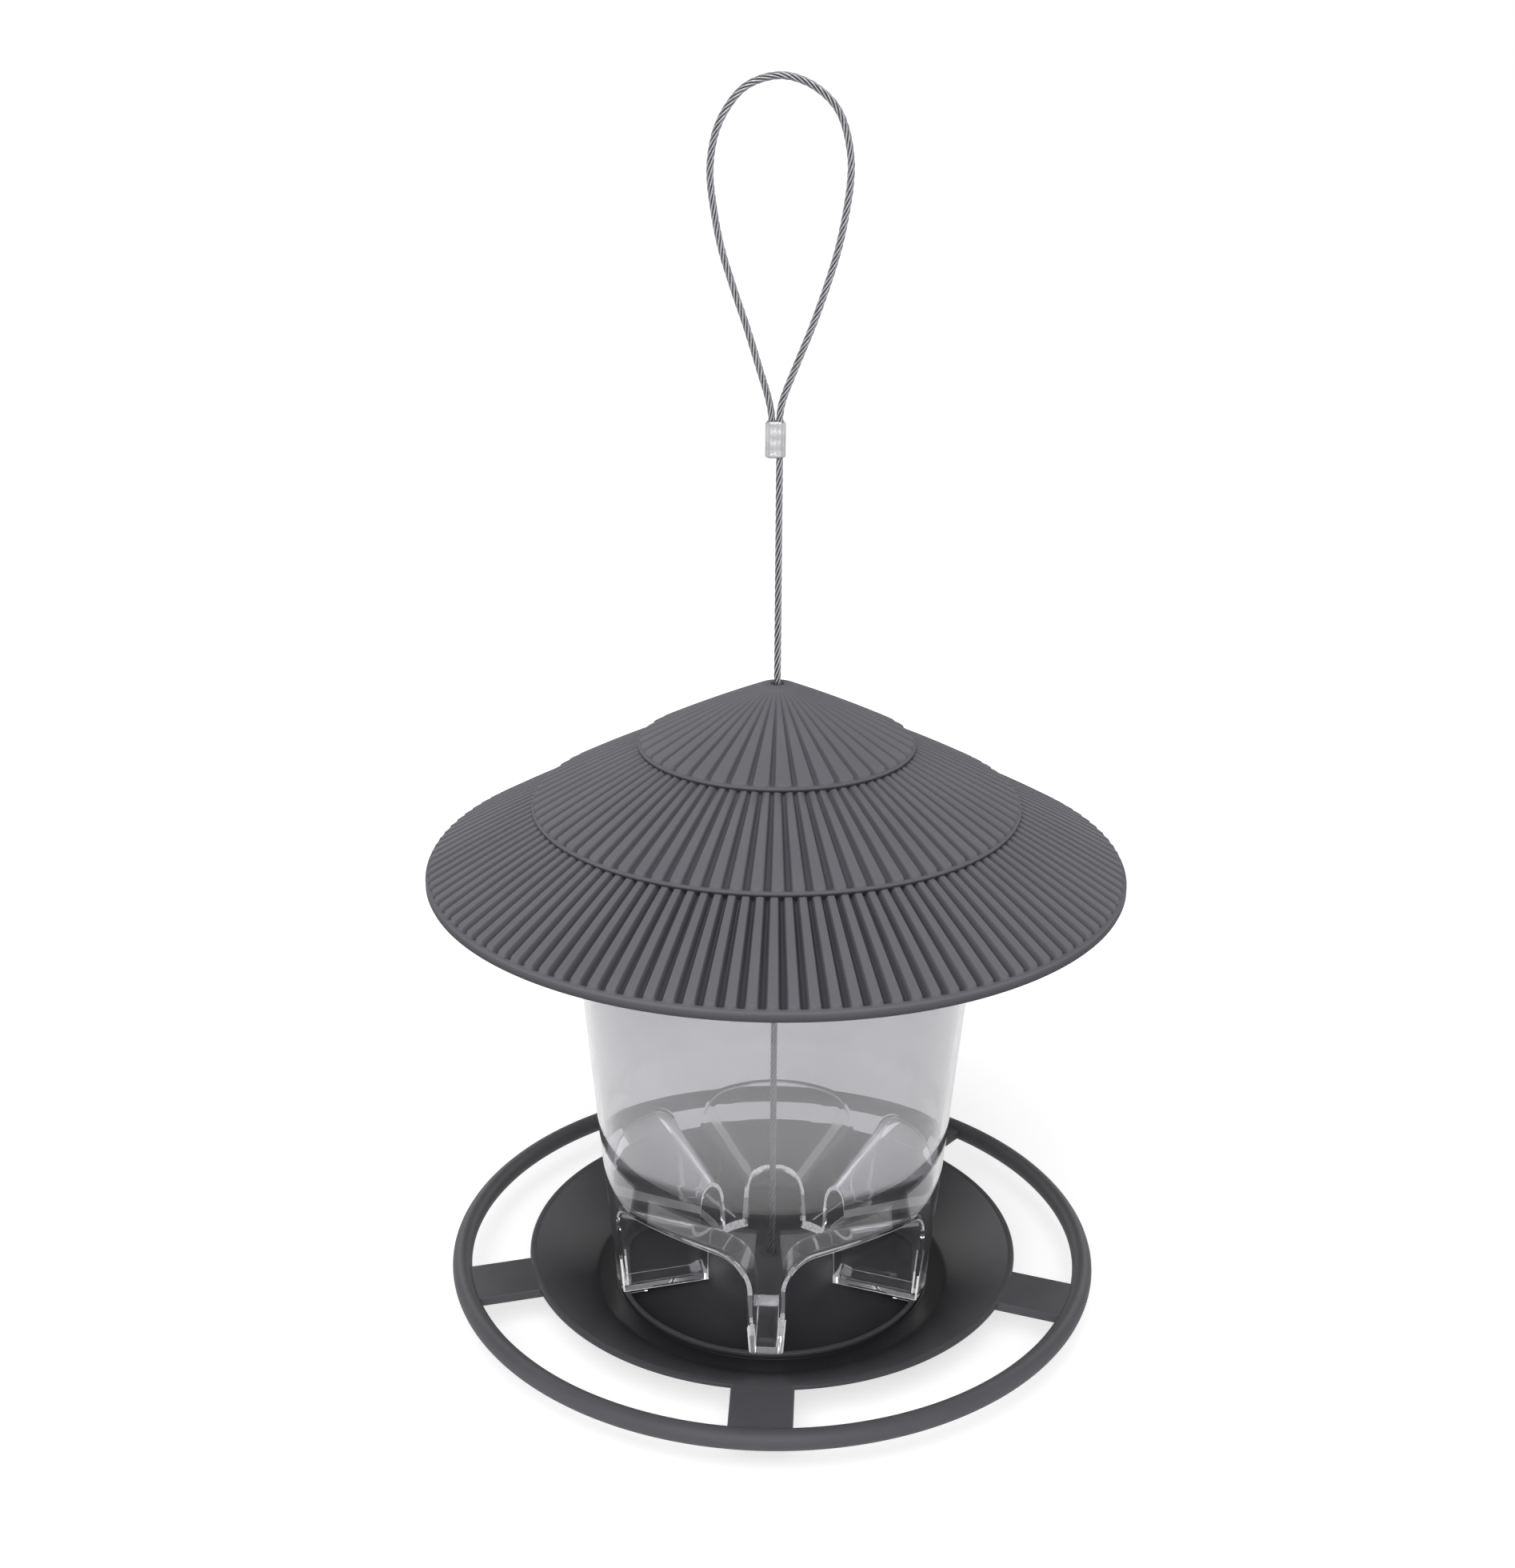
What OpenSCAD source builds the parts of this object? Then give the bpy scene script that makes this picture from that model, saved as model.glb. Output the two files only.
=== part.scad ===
// Hanging bird feeder. Three mouldings are threaded on one wire rope: a dish with a perch ring, a
// clear hopper with arched feeding ports that stands in the dish, and a ribbed roof on the hopper.
// The origin is under the middle of the dish, on the surface that the dish can stand on.

/* [Ports] */
// Number of feeding ports, and of the legs and spokes between them
ports = 5; // [4:1:6]

/* [Perch ring] */
// Outside diameter of the perch ring
perch_d = 200; // [190:1:230]
// Diameter of the ring's round bar
perch_bar_d = 6; // [4:0.5:8]
// Width of the flat spokes that carry the ring
spoke_w = 18; // [10:1:24]
// Thickness of the spokes
spoke_t = 3; // [2:0.5:4]

/* [Dish] */
// Diameter of the dish over its rim
dish_d = 152; // [144:1:160]
// Height of the rim above the underside
dish_h = 12.5; // [11:0.5:18]
// Diameter of the dish's flat floor
floor_d = 112; // [104:1:120]
// Thickness of the floor and the sloping wall
dish_t = 2; // [1.5:0.1:3]
// Thickness of the rim, which the sloping wall thins out to
rim_t = 1.2; // [1:0.1:2]
// Height of the standing bead above the floor
bead_h = 1.9; // [1.2:0.1:3]
// Width of the standing bead
bead_w = 1.6; // [1:0.1:2.4]
// How far the bead's outer edge lies inside the hopper's outside
bead_inset = 0.4; // [0:0.1:1]
// Width of the broken edges of the dish and hub
dish_edge = 0.8; // [0.4:0.1:0.9]

/* [Hub] */
// Diameter of the hub's cone where it meets the floor
hub_d = 44; // [34:1:44]
// Width of the flared skirt at the foot of the hub's cone
hub_skirt_w = 3.6; // [2:0.2:5]
// Height of the flared skirt above the floor
hub_skirt_h = 1; // [0.5:0.1:2]
// Diameter of the flat top of the hub
hub_top_d = 8; // [7:0.5:12]
// Height of the hub's top above the underside
hub_h = 8; // [7.5:0.5:11]
// Thickness of the plastic over the rope's stop
hub_roof_t = 2; // [1.5:0.1:2.5]

/* [Hopper] */
// Outside diameter of the hopper's wall at its feet
hopper_foot_d = 98.4; // [92:0.2:102]
// Outside diameter of the hopper's mouth
hopper_mouth_d = 126; // [116:1:132]
// Height of the hopper from its feet to its mouth
hopper_h = 156; // [130:1:180]
// Wall thickness of the hopper
hopper_t = 1.8; // [1.2:0.1:2.4]
// Width of a leg
leg_w = 11.6; // [9:0.2:13]
// Diameter of the opening in the middle of the hopper's floor
opening_d = 45; // [40:0.5:48]
// Height of a port's inner door
door_h = 20.2; // [16:0.2:24]
// Height of a port's outer arch
arch_h = 36; // [30:0.5:44]
// Radius of the corners at the top of a port
corner_r = 7; // [3:0.5:8]
// Length of the locating lug under each foot
lug_l = 5.5; // [3:0.5:8]
// Width of the locating lug
lug_w = 7.5; // [4:0.5:9]

/* [Roof] */
// Diameter of the roof's rim
roof_d = 204; // [190:1:230]
// Diameter of the middle tier's lip
middle_tier_d = 142; // [136:1:160]
// Diameter of the top tier's lip
top_tier_d = 80; // [60:1:96]
// How far the rim hangs below the hopper's mouth
eaves_drop = 21; // [14:0.5:26]
// Rise from the rim to the middle tier's lip
low_tier_h = 20.5; // [16:0.5:26]
// Rise from the middle tier's lip to the top tier's lip
middle_tier_h = 17.5; // [14:0.5:24]
// Rise from the top tier's lip to the peak
top_tier_h = 19; // [14:0.5:24]
// Thickness of the roof's shell
roof_t = 2; // [1.6:0.1:2.6]
// Height of the lip under each upper tier
lip_h = 1.8; // [1:0.1:2.6]
// Height of the plain band round the rim
rim_band_h = 3.7; // [2.5:0.1:5]
// Width of the broken edge on each lip and on the rim
lip_edge = 0.7; // [0.3:0.1:0.9]
// Diameter of the smooth peak
peak_d = 12; // [9:0.5:16]
// How far the smooth peak's edge lies below its top
peak_drop = 0.9; // [0.4:0.1:1.4]
// Height of the collar that drops into the hopper's mouth
collar_h = 8; // [4:0.5:12]

/* [Ribs] */
// Number of ribs on the top tier, doubled and tripled on the lower ones
top_ribs = 40; // [20:2:48]
// Distance from a lip to the start of the grooves below it
groove_gap = 1; // [0.8:0.1:2]
// Depth of the grooves between the ribs
groove_depth = 0.8; // [0.4:0.1:1]
// Share of the ribs' pitch that the groove takes on the top tier
top_groove_share = 0.18; // [0.1:0.01:0.4]
// Share of the ribs' pitch that the groove takes on the middle tier
middle_groove_share = 0.3; // [0.1:0.01:0.4]
// Share of the ribs' pitch that the groove takes on the low tier
low_groove_share = 0.37; // [0.1:0.01:0.45]

/* [Rope and ferrules] */
// Diameter of the wire rope
rope_d = 2; // [1.5:0.1:2.2]
// Outside diameter of one barrel of the loop's ferrule
barrel_d = 3.4; // [3:0.1:4.2]
// Length of the loop's ferrule
loop_ferrule_l = 10; // [8:0.5:12]
// Outside diameter of the stop under the hub
stop_d = 5.6; // [4.5:0.1:6.5]
// Length of the stop under the hub
stop_l = 5; // [4:0.5:5]

/* [Clearances] */
// Gap between the standing bead and the hopper's lugs
lug_gap = 0.4; // [0.3:0.1:0.6]
// Gap between the hopper's mouth and the roof's locating collar
collar_gap = 0.6; // [0.4:0.1:1]
// Radial gap between the rope and the hub's hole
hub_hole_gap = 0.5; // [0.3:0.1:0.8]
// Radial gap between the rope and the roof's hole
roof_hole_gap = 1; // [0.5:0.1:1.5]
// Radial gap between the rope and a ferrule's bore
crimp_gap = 0.1; // [0.05:0.05:0.15]
// Radial gap round the stop in its recess
stop_gap = 1; // [0.5:0.1:1.5]

/* [Hidden] */

// Smoothness of large and of small round shapes
round_fn = 144;
small_fn = 48;
// How far a cutting shape reaches past the face that it cuts
over = 1;

// The ports lie at these angles, with a leg and a spoke halfway between them. A leg faces -Y.
port_step = 360 / ports;
first_leg = -90;
leg_angles = [for (i = [0:ports - 1]) first_leg + i * port_step];
port_angles = [for (a = leg_angles) a + port_step / 2];

// Heights of the faces that the pieces share
foot_z = dish_t + bead_h;
mouth_z = foot_z + hopper_h;
rim_z = mouth_z - eaves_drop;
middle_lip_z = rim_z + low_tier_h;
top_lip_z = middle_lip_z + middle_tier_h;
peak_z = top_lip_z + top_tier_h;
hub_ceiling_z = hub_h - hub_roof_t;

// The spokes' tops are level with the dish's rim
spoke_z = dish_h - spoke_t;
bead_r = hopper_foot_d / 2 - bead_inset - bead_w;
lug_end_r = bead_r - lug_gap;

// A point on a circle in the r-z plane
function arc_point(c, r, a) = [c[0] + r * cos(a), c[1] + r * sin(a)];

// The hopper's outside radius at a height
function wall_r(z) =
    hopper_foot_d / 2 + (z - foot_z) * (hopper_mouth_d - hopper_foot_d) / 2 / hopper_h;

// The dish: floor, standing bead, sloping wall with a rounded rim, and a hollow hub
module dish() {
    hub_hole_r = rope_d / 2 + hub_hole_gap;
    recess_r = stop_d / 2 + stop_gap;
    rim_r = dish_d / 2;
    outline = [
        [hub_hole_r, hub_ceiling_z],
        [hub_hole_r, hub_h],
        [hub_top_d / 2 - dish_edge, hub_h],
        [hub_top_d / 2, hub_h - dish_edge / 2],
        [hub_d / 2 - hub_skirt_w, dish_t + hub_skirt_h],
        [hub_d / 2, dish_t],
        [bead_r, dish_t],
        [bead_r, foot_z],
        [bead_r + bead_w, foot_z],
        [bead_r + bead_w, dish_t],
        [floor_d / 2 - dish_t, dish_t],
        [floor_d / 2, dish_t + dish_edge / 2],
        [rim_r - dish_t, dish_h - dish_edge],
        [rim_r - dish_t + dish_edge, dish_h],
        [rim_r - dish_edge, dish_h],
        [rim_r, dish_h - dish_edge],
        [rim_r, dish_h - rim_t],
        [floor_d / 2 + dish_t, 0],
        [hub_d / 2 - dish_t, 0],
        [recess_r, hub_ceiling_z - dish_t],
        [recess_r, hub_ceiling_z],
    ];
    color([0.2, 0.2, 0.21])
        rotate_extrude($fn = round_fn)
            polygon(outline);
}

// The space within the dish's outside, from its underside up past the rim
module dish_space() {
    rotate_extrude($fn = round_fn)
        polygon([
            [hub_d / 2, 0],
            [floor_d / 2 + dish_t, 0],
            [dish_d / 2, dish_h - rim_t],
            [dish_d / 2, dish_h + over],
            [hub_d / 2, dish_h + over],
        ]);
}

// The perch: a round bar on flat spokes that end on the outside of the dish's rim and wall
module perch_ring() {
    ring_r = perch_d / 2 - perch_bar_d / 2;
    bar_z = dish_h - spoke_t / 2;
    color([0.25, 0.25, 0.26])
        union() {
            translate([0, 0, bar_z])
                rotate_extrude($fn = round_fn)
                    translate([ring_r, 0])
                        circle(d = perch_bar_d, $fn = small_fn);
            difference() {
                for (a = leg_angles)
                    rotate([0, 0, a])
                        translate([floor_d / 2, -spoke_w / 2, spoke_z])
                            cube([ring_r - floor_d / 2, spoke_w, spoke_t]);
                dish_space();
            }
        }
}

// The tunnels start well inside the opening that cuts their doors
tunnel_start = opening_d / 3;

// Each port's ceiling climbs from the inner door to the arch in the hopper's wall
half_step = port_step / 2;
port_slope = (arch_h - door_h) / (wall_r(foot_z + arch_h) - opening_d / 2);
// The edge between a port's ceiling and a leg runs along the leg and climbs at this angle
edge_climb = atan(port_slope * cos(half_step));
edge_fall = cos(edge_climb) * port_slope * sin(half_step);

// One side of a port and its ceiling, square to the edge between them, which is rounded
corner_steps = 6;
function port_profile(grow) =
    let (
        side = grow - leg_w / 2,
        axis_z = foot_z + door_h - port_slope * opening_d / 2 + grow / cos(atan(port_slope)),
        ceiling = cos(edge_climb) * axis_z,
        corner = corner_r + grow,
        centre_x = side - corner,
        centre = [centre_x, ceiling - edge_fall * centre_x - corner * norm([1, edge_fall])],
        far = [-hopper_mouth_d, ceiling + edge_fall * hopper_mouth_d]
    )
    concat(
        [[side, -hopper_mouth_d]],
        [for (i = [0:corner_steps]) arc_point(centre, corner, i * (90 - atan(edge_fall)) / corner_steps)],
        [far, [-hopper_mouth_d, -hopper_mouth_d]]
    );

// A long bar of that profile, beside the leg on the left (1) or right (-1) of a port along +X
module port_side(grow, side) {
    rotate([0, 0, side * half_step])
        rotate([0, -edge_climb, 0])
            rotate([90, 0, 90])
                linear_extrude(hopper_mouth_d)
                    polygon([for (p = port_profile(grow)) [side * p[0], p[1]]]);
}

// A port's tunnel along +X, from the inner door through the wall, grown by a wall for the solid
module tunnel(inner_d, grow, drop) {
    intersection() {
        translate([inner_d, -hopper_mouth_d / 2, foot_z - drop])
            cube([hopper_mouth_d / 2 - inner_d, hopper_mouth_d, hopper_h]);
        port_side(grow, 1);
        port_side(grow, -1);
    }
}

// A solid as wide as the hopper less an inset, between two heights
module hopper_body(low, high, inset) {
    translate([0, 0, low])
        cylinder(r1 = wall_r(low) - inset, r2 = wall_r(high) - inset, h = high - low, $fn = round_fn);
}

// The lug under a foot plate, which drops inside the dish's bead
module lug() {
    translate([lug_end_r - lug_l, -lug_w / 2, foot_z - bead_h + lug_gap])
        cube([lug_l, lug_w, bead_h - lug_gap + hopper_t / 2]);
}

// All ports' tunnels round the middle, from the same distance
module tunnels(inner_d, grow, drop) {
    for (a = port_angles)
        rotate([0, 0, a])
            tunnel(inner_d, grow, drop);
}

// The seed's space: inside the wall, above the foot plates and round the tunnels
module seed_space() {
    difference() {
        hopper_body(foot_z + hopper_t, mouth_z + over, hopper_t);
        tunnels(tunnel_start, hopper_t, over);
    }
}

// The tapered wall, the tunnels still solid, and the opening in the middle that the seed falls through
module hopper_shell() {
    difference() {
        difference() {
            hopper_body(foot_z, mouth_z, 0);
            seed_space();
        }
        translate([0, 0, foot_z - over])
            cylinder(d = opening_d, h = arch_h + over, $fn = round_fn);
    }
}

// The clear hopper: its wall, tunnels that rise outward, and trough-shaped legs between them
module hopper() {
    color([0.85, 0.88, 0.9, 0.4])
        union() {
            difference() {
                hopper_shell();
                tunnels(tunnel_start - over, 0, 2 * over);
            }
            for (a = leg_angles)
                rotate([0, 0, a])
                    lug();
        }
}

// The height at a radius on a straight slope between two points
function slope_z(r, a, b) = a[1] + (r - a[0]) * (b[1] - a[1]) / (b[0] - a[0]);

// One groove between two ribs, down the slope from a to b along +X, from the inner to the outer radius
module groove(a, b, inner, outer, count, share) {
    slope = atan2(a[1] - b[1], b[0] - a[0]);
    run = (outer - inner) / cos(slope);
    inner_w = 2 * PI * inner / count * share;
    outer_w = 2 * PI * outer / count * share;
    translate([inner, 0, slope_z(inner, a, b)])
        rotate([0, slope, 0])
            translate([0, 0, -groove_depth])
                linear_extrude(groove_depth + over)
                    polygon([[0, -inner_w / 2], [run, -outer_w / 2], [run, outer_w / 2], [0, inner_w / 2]]);
}

// All grooves of one tier, with one of them over the front leg
module grooves(a, b, inner, outer, count, share) {
    for (i = [0:count - 1])
        rotate([0, 0, first_leg + i * 360 / count])
            groove(a, b, inner, outer, count, share);
}

// The roof: a thin stepped shell with ribs, a seat for the hopper's mouth and a locating collar
module roof() {
    hole_r = rope_d / 2 + roof_hole_gap;
    peak_edge = [peak_d / 2, peak_z - peak_drop];
    top_lip = [top_tier_d / 2, top_lip_z + lip_h];
    middle_start = [top_tier_d / 2, top_lip_z];
    middle_lip = [middle_tier_d / 2, middle_lip_z + lip_h];
    low_start = [middle_tier_d / 2, middle_lip_z];
    band_top = [roof_d / 2, rim_z + rim_band_h];
    // The shell's upright thickness, and the height of a lip's broken edge, on the tiers' slope
    tier_slope = atan2(middle_tier_h - lip_h, (middle_tier_d - top_tier_d) / 2);
    shell_z = roof_t / cos(tier_slope);
    edge_rise = lip_edge * tan(tier_slope);
    outline = [
        [hole_r, peak_z],
        [peak_d / 4, peak_z],
        peak_edge,
        top_lip + [-lip_edge, edge_rise],
        top_lip - [0, lip_edge],
        middle_start,
        middle_lip + [-lip_edge, edge_rise],
        middle_lip - [0, lip_edge],
        low_start,
        band_top + [-lip_edge, edge_rise],
        band_top - [0, lip_edge],
        [roof_d / 2, rim_z + lip_edge],
        [roof_d / 2 - lip_edge, rim_z],
        [roof_d / 2 - roof_t, rim_z],
        [roof_d / 2 - roof_t, band_top[1] - shell_z],
        [middle_tier_d / 2 - roof_t, low_start[1] - shell_z],
        [middle_tier_d / 2 - roof_t, middle_lip[1] - shell_z],
        [top_tier_d / 2 - roof_t, middle_start[1] - shell_z],
        [top_tier_d / 2 - roof_t, top_lip[1] - shell_z],
        [peak_d / 2, peak_edge[1] - shell_z],
        [hole_r, peak_edge[1] - shell_z],
    ];
    // The seat ring is met by the hopper's mouth, and the collar drops inside it
    seat_r = hopper_mouth_d / 2 + roof_t;
    collar_top_r = wall_r(mouth_z) - hopper_t - collar_gap;
    collar_foot_r = wall_r(mouth_z - collar_h) - hopper_t - collar_gap;
    seat_outline = [
        [collar_foot_r - roof_t, mouth_z - collar_h],
        [collar_foot_r, mouth_z - collar_h],
        [collar_top_r, mouth_z],
        [seat_r, mouth_z],
        [seat_r, slope_z(seat_r, middle_start, middle_lip) - shell_z / 2],
        [collar_foot_r - roof_t, slope_z(collar_foot_r - roof_t, middle_start, middle_lip) - shell_z / 2],
    ];
    color([0.43, 0.43, 0.45])
        difference() {
            union() {
                rotate_extrude($fn = round_fn)
                    polygon(outline);
                rotate_extrude($fn = round_fn)
                    polygon(seat_outline);
            }
            grooves(peak_edge, top_lip, peak_edge[0], top_lip[0] + over, top_ribs, top_groove_share);
            grooves(middle_start, middle_lip, middle_start[0] + groove_gap, middle_lip[0] + over,
                2 * top_ribs, middle_groove_share);
            grooves(low_start, band_top, low_start[0] + groove_gap, band_top[0] - roof_t,
                3 * top_ribs, low_groove_share);
        }
}

// Route of the rope in the X-Z plane: from the stop straight up, round the loop and down again
stop_foot_z = hub_ceiling_z - stop_l;
rope_x = 2.3;
ferrule_z = 260.5;
straight_run = [
    [0, 1], [0, 30], [0, 60], [0, 90], [0, 120], [0, 150], [0, 180], [0, 210], [0, 240], [0, 256]
];
loop_run = [
    [0, 262], [0, 268], [0, 272], [1, 277], [4.5, 286], [8.5, 296], [12, 306], [15, 316], [17, 326],
    [18, 335], [17.5, 342], [15.5, 349], [12, 354], [6, 358], [-1, 359.5], [-8.5, 357.5], [-13.5, 353],
    [-17.5, 345.5], [-19, 336], [-18, 326], [-16, 316], [-12.5, 305], [-9, 295], [-5.5, 284], [-3.3, 277],
    [-2.3, 272], [-2.3, 268], [-2.3, 261]
];

// A smooth curve through the loop's points, with two steps a point
function between(a, b, c, d, t) =
    b + (c - a) / 2 * t
    + (a - 2.5 * b + 2 * c - d / 2) * t * t
    + (1.5 * b - a / 2 - 1.5 * c + d / 2) * t * t * t;
loop_last = len(loop_run) - 1;
loop_curve = [
    for (i = [0:loop_last - 1], t = [0, 0.5])
        between(loop_run[max(i - 1, 0)], loop_run[i], loop_run[i + 1], loop_run[min(i + 2, loop_last)], t)
];
rope_route = concat(straight_run, loop_curve, [loop_run[loop_last]]);

// The rope as a plain tube swept along its route
module hanging_rope() {
    sides = 8;
    last = len(rope_route) - 1;
    function heading(i) = rope_route[min(i + 1, last)] - rope_route[max(i - 1, 0)];
    function ring(i) =
        let (h = heading(i) / norm(heading(i)))
        [for (k = [0:sides - 1]) let (a = k * 360 / sides, side = rope_d / 2 * cos(a))
            [rope_route[i][0] + h[1] * side, rope_d / 2 * sin(a), rope_route[i][1] - h[0] * side]];
    points = [for (i = [0:last]) each ring(i)];
    walls = [for (i = [0:last - 1], k = [0:sides - 1])
        let (n = (k + 1) % sides, a = i * sides, b = a + sides)
        each [[a + k, b + k, a + n], [a + n, b + k, b + n]]];
    end = last * sides;
    caps = [for (k = [1:sides - 2]) each [[0, k, k + 1], [end, end + k + 1, end + k]]];
    color([0.55, 0.55, 0.56])
        polyhedron(points, concat(walls, caps));
}

// The double-barrel crimp that closes the loop
module loop_ferrule() {
    bore_r = rope_d / 2 + crimp_gap;
    color([0.8, 0.8, 0.81])
        translate([0, 0, ferrule_z])
            difference() {
                union() {
                    for (x = [0, -rope_x])
                        translate([x, 0, 0])
                            cylinder(d = barrel_d, h = loop_ferrule_l, $fn = small_fn);
                    translate([-rope_x, -barrel_d / 2, 0])
                        cube([rope_x, barrel_d, loop_ferrule_l]);
                }
                for (x = [0, -rope_x])
                    translate([x, 0, -over])
                        cylinder(r = bore_r, h = loop_ferrule_l + 2 * over, $fn = small_fn);
            }
}

// The crimp under the hub that the feeder hangs on
module stop_ferrule() {
    color([0.8, 0.8, 0.81])
        translate([0, 0, stop_foot_z])
            difference() {
                cylinder(d = stop_d, h = stop_l, $fn = small_fn);
                translate([0, 0, -over])
                    cylinder(r = rope_d / 2 + crimp_gap, h = stop_l + 2 * over, $fn = small_fn);
            }
}

dish();
perch_ring();
hopper();
roof();
hanging_rope();
loop_ferrule();
stop_ferrule();
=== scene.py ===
"""A hanging bird feeder: a dark dish with a perch ring, a clear hopper, a ribbed roof and a wire rope.
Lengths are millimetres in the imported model's frame, and become metres where a mesh is made.
"""

import math

import bpy
import numpy as np
from mathutils import Matrix, Vector


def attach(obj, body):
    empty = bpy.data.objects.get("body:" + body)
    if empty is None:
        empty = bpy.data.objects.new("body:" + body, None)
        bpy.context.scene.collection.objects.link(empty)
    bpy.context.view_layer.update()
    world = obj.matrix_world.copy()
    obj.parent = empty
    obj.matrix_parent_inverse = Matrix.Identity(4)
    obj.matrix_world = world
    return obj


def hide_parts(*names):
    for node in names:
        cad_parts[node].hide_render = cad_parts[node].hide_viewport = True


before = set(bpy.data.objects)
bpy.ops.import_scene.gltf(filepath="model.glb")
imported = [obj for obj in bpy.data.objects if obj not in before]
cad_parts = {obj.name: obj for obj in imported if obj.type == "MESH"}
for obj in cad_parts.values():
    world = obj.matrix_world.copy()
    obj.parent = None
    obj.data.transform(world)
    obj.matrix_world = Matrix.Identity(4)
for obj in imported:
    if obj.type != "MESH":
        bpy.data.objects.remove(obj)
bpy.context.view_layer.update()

# The dish is one dark grey plastic moulding. Its smooth floor is painted almost black as painted shade,
# and the low cone in the middle is painted paler as a painted pool of light. The hopper's feet stand on
# its raised bead. The rope's stop sits in a recess under the cone.
MM = 0.001
DISH_R = 76
DISH_RIM_Z = 12.5
RIM_T = 1.2
RIM_TOP_W = 1.8
FLOOR_R = 56
FLOOR_Z = 2
WALL_IN = 1
WALL_OUT = 2
BEAD_INNER_R = 47.2
BEAD_OUTER_R = 48.8
FOOT_Z = 3.9
HUB_FOOT_R = 21
HUB_TOP_R = 3.6
HUB_TOP_Z = 8
HUB_HOLE_R = 1.5
HUB_CEILING_Z = 6
RECESS_R = 3.8
RECESS_WALL_H = 2
RECESS_FOOT_R = 20
EDGE_ROUND = 0.5
HOLE_ROUND = 0.2
BEAD_ROOT_ROUND = 0.4
HUB_TOP_ROUND = 1.2
HUB_FOOT_ROUND = 16
FLOOR_ROUND = 4
RIM_ROUND = 0.8
DISH_FOOT_ROUND = 2
RECESS_ROUND = 1
DISH_COLUMNS = 240
# The rim's band that the painted floor shade leaves out, the wall's own share of the pale colour, and the
# radii over which the painted pool of light on the cone fades out.
PALE_RIM_W = 3
WALL_LIGHT = 0.476
LIGHT_POOL_FADE_R = (12, 34)
UNDER_HALF = 0.48
MOTTLE_DETAIL = 4
MOTTLE_RANGE = (0.3, 0.7)
GRAIN_DETAIL = 3
GRAIN_DEPTH = 0.2


def rounded(corners, steps=5):
    """The points of a closed outline whose corners, given as (x, y, radius), are rounded by curves that
    each take less than half of a side."""
    points = []
    for i, (x, y, radius) in enumerate(corners):
        here = np.array([x, y], float)
        back = np.array(corners[i - 1][:2]) - here
        ahead = np.array(corners[(i + 1) % len(corners)][:2]) - here
        back_l = np.linalg.norm(back)
        ahead_l = np.linalg.norm(ahead)
        back = back / back_l
        ahead = ahead / ahead_l
        half = math.acos(np.clip(back @ ahead, -1, 1)) / 2
        reach = min(radius / math.tan(half), UNDER_HALF * back_l, UNDER_HALF * ahead_l)
        start = here + reach * back
        end = here + reach * ahead
        for k in range(steps + 1):
            t = k / steps
            points.append((1 - t) ** 2 * start + 2 * t * (1 - t) * here + t**2 * end)
    return np.array(points)


def grid_faces(rows, columns, closed_rows=False):
    """Quads between rows of points that each go all the way round. Closed rows also join last to first."""
    row = np.arange(rows if closed_rows else rows - 1)[:, None]
    column = np.arange(columns)[None, :]
    here = row * columns
    above = (row + 1) % rows * columns
    ahead = (column + 1) % columns
    return np.stack([here + column, here + ahead, above + ahead, above + column], axis=-1).reshape(-1, 4)


def set_round(rows, angle):
    """Rows of (r, z) points set out round the Z axis, with one point at each angle."""
    r, z = rows[..., 0], rows[..., 1]
    return np.stack([r * np.cos(angle), r * np.sin(angle), z + 0 * angle], axis=-1)


def lathe(outline, columns):
    """A closed outline of (r, z) points turned round the Z axis."""
    angle = np.arange(columns) * 2 * math.pi / columns
    points = set_round(outline[:, None, :], angle)
    return points.reshape(-1, 3), grid_faces(len(outline), columns, closed_rows=True)


def make_piece(name, points, faces, body, material, sharp=40, shade=None):
    """A smooth mesh object from millimetre points, which rides on a body. Edges of more than sharp degrees
    stay crisp. shade is how far each point goes to its material's other look: painted shade on plastic and
    steel, whose low end on the dish's cone is a painted pool of light, and haze, in places a painted
    highlight, on the clear hopper."""
    mesh = bpy.data.meshes.new(name)
    mesh.from_pydata((np.asarray(points) * MM).tolist(), [], [list(map(int, f)) for f in faces])
    mesh.validate()
    mesh.polygons.foreach_set("use_smooth", [True] * len(mesh.polygons))
    mesh.set_sharp_from_angle(angle=math.radians(sharp))
    if shade is not None:
        mesh.attributes.new("shade", "FLOAT", "POINT").data.foreach_set("value", np.ravel(shade))
    mesh.materials.append(material)
    piece = bpy.data.objects.new(name, mesh)
    bpy.context.scene.collection.objects.link(piece)
    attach(piece, body)
    return piece


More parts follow.
